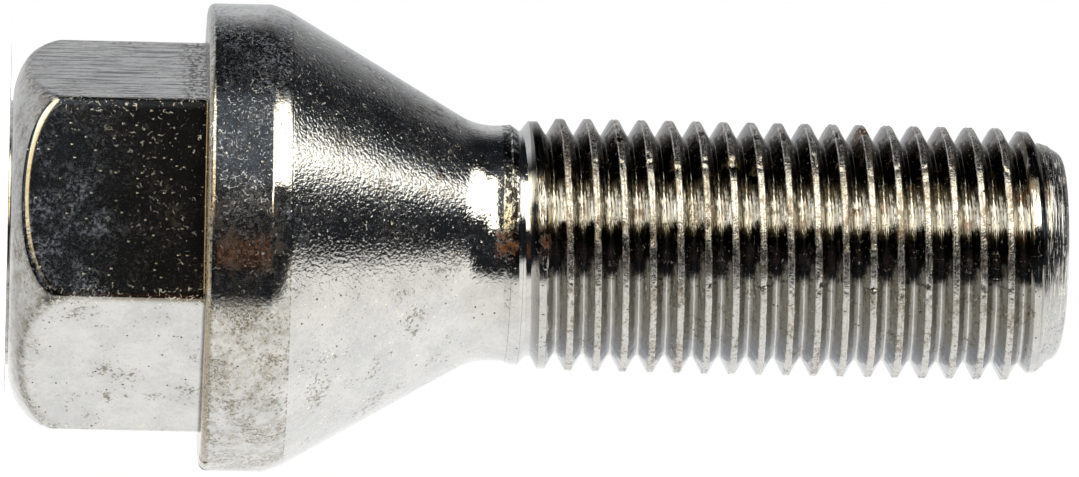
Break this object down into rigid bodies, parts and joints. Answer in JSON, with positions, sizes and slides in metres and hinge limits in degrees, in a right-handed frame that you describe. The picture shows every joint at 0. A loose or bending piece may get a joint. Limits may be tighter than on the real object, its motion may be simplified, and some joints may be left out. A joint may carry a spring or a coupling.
{
  "type": "wheel bolt",
  "caption": "Wheel bolt: a plated hexagon head with a wide collar, a cone that seats in the wheel, and a right-hand machine thread on the shank.",
  "frame": {"origin": "centre of the head's flat end face, which the bolt stands on", "axes": "+Z along the bolt's axis, from the head's end to the tip of the thread; the picture looks along +Y"},
  "size_m": [0.0256, 0.0256, 0.0578],
  "materials": {
    "plated_steel": "polished"
  },
  "bodies": {
    "root": {"wheel_bolt": "plated_steel"}
  },
  "joints": []
}
